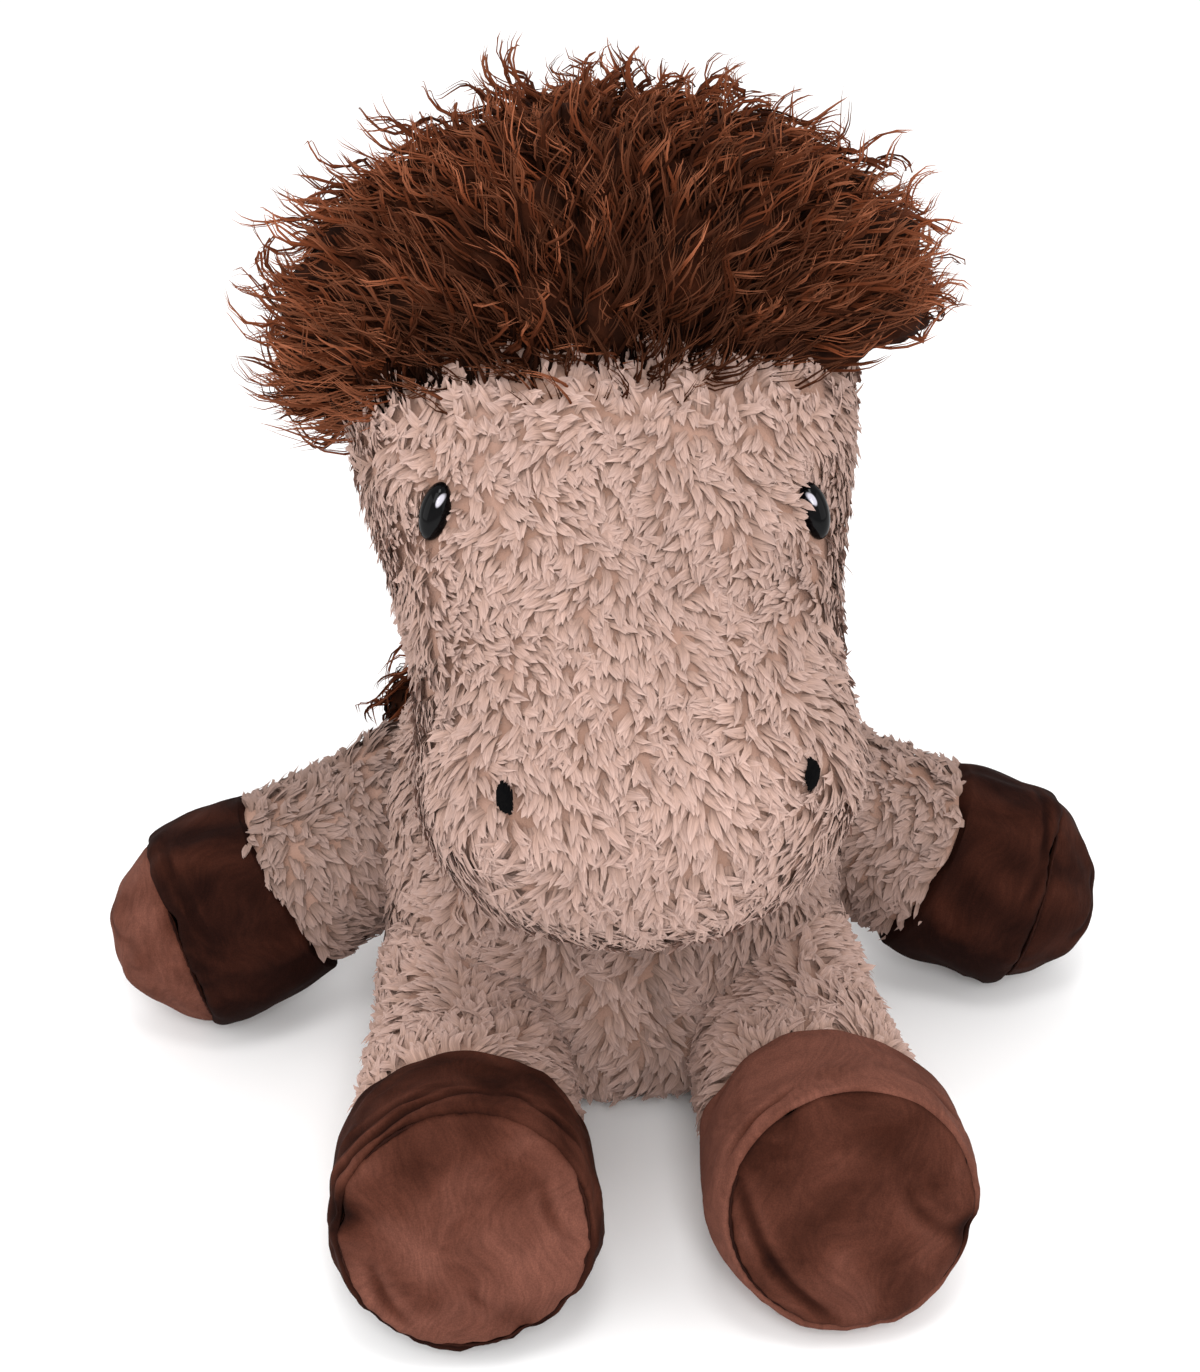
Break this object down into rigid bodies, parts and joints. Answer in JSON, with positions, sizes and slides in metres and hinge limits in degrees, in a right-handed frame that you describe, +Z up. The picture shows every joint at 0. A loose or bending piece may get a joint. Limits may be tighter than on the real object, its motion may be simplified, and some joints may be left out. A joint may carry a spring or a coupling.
{
  "type": "plush horse",
  "caption": "Seated stuffed horse in long-pile plush, with a curly mane, a long drooping head, short-pile hooves on stubby limbs and small glossy eyes.",
  "frame": {"origin": "middle of the flat seat that the torso rests on", "axes": "+Z up; the horse faces -Y, so its own left side is at +X"},
  "size_m": [0.437, 0.43, 0.4356],
  "materials": {
    "body_plush": "matte long pile",
    "curls": "curly long pile",
    "hoof_cloth": "short velvety pile",
    "filling": "loose polyester fibre",
    "eye": "polished",
    "washer": "moulded",
    "thread": "satin stitch"
  },
  "bodies": {
    "torso": {"torso_cover": "body_plush", "torso_filling": "filling", "back_mane": "curls"},
    "neck": {"neck_cover": "body_plush", "neck_filling": "filling", "neck_mane": "curls"},
    "head": {"head_cover": "body_plush", "head_filling": "filling", "mane": "curls", "ear_left": "body_plush", "ear_right": "body_plush", "eye_left": "eye", "eye_right": "eye", "eye_washer_left": "washer", "eye_washer_right": "washer", "nostril_left": "thread", "nostril_right": "thread"},
    "arm_left": {"arm_left_sleeve": "body_plush", "arm_left_filling": "filling", "arm_left_hoof_band": "hoof_cloth", "arm_left_hoof_sole": "hoof_cloth"},
    "arm_right": {"arm_right_sleeve": "body_plush", "arm_right_filling": "filling", "arm_right_hoof_band": "hoof_cloth", "arm_right_hoof_sole": "hoof_cloth"},
    "leg_left": {"leg_left_sleeve": "body_plush", "leg_left_filling": "filling", "leg_left_hoof_band": "hoof_cloth", "leg_left_hoof_sole": "hoof_cloth"},
    "leg_right": {"leg_right_sleeve": "body_plush", "leg_right_filling": "filling", "leg_right_hoof_band": "hoof_cloth", "leg_right_hoof_sole": "hoof_cloth"},
    "tail": {"tail": "curls"}
  },
  "joints": [
    {"name": "neck_turn", "type": "hinge", "parent": "torso", "child": "neck", "pos_m": [0, -0.018, 0.156], "axis": [0, 0, 1], "range_deg": [-25, 25]},
    {"name": "head_nod", "type": "hinge", "parent": "neck", "child": "head", "pos_m": [0, -0.018, 0.26], "axis": [0.9986, 0.0523, 0], "range_deg": [-20, 2]},
    {"name": "arm_left_swing", "type": "hinge", "parent": "torso", "child": "arm_left", "pos_m": [0.09, 0.016, 0.1], "axis": [0, 1, 0], "range_deg": [-40, 5]},
    {"name": "arm_right_swing", "type": "hinge", "parent": "torso", "child": "arm_right", "pos_m": [-0.09, 0.016, 0.1], "axis": [0, -1, 0], "range_deg": [-40, 5]},
    {"name": "leg_left_swing", "type": "hinge", "parent": "torso", "child": "leg_left", "pos_m": [0.066, -0.05, 0.049], "axis": [1, 0, 0], "range_deg": [-10, 25]},
    {"name": "leg_right_swing", "type": "hinge", "parent": "torso", "child": "leg_right", "pos_m": [-0.066, -0.05, 0.049], "axis": [1, 0, 0], "range_deg": [-10, 25]},
    {"name": "tail_swing", "type": "hinge", "parent": "torso", "child": "tail", "pos_m": [0, 0.09, 0.058], "axis": [0, 0, 1], "range_deg": [-30, 30]}
  ]
}
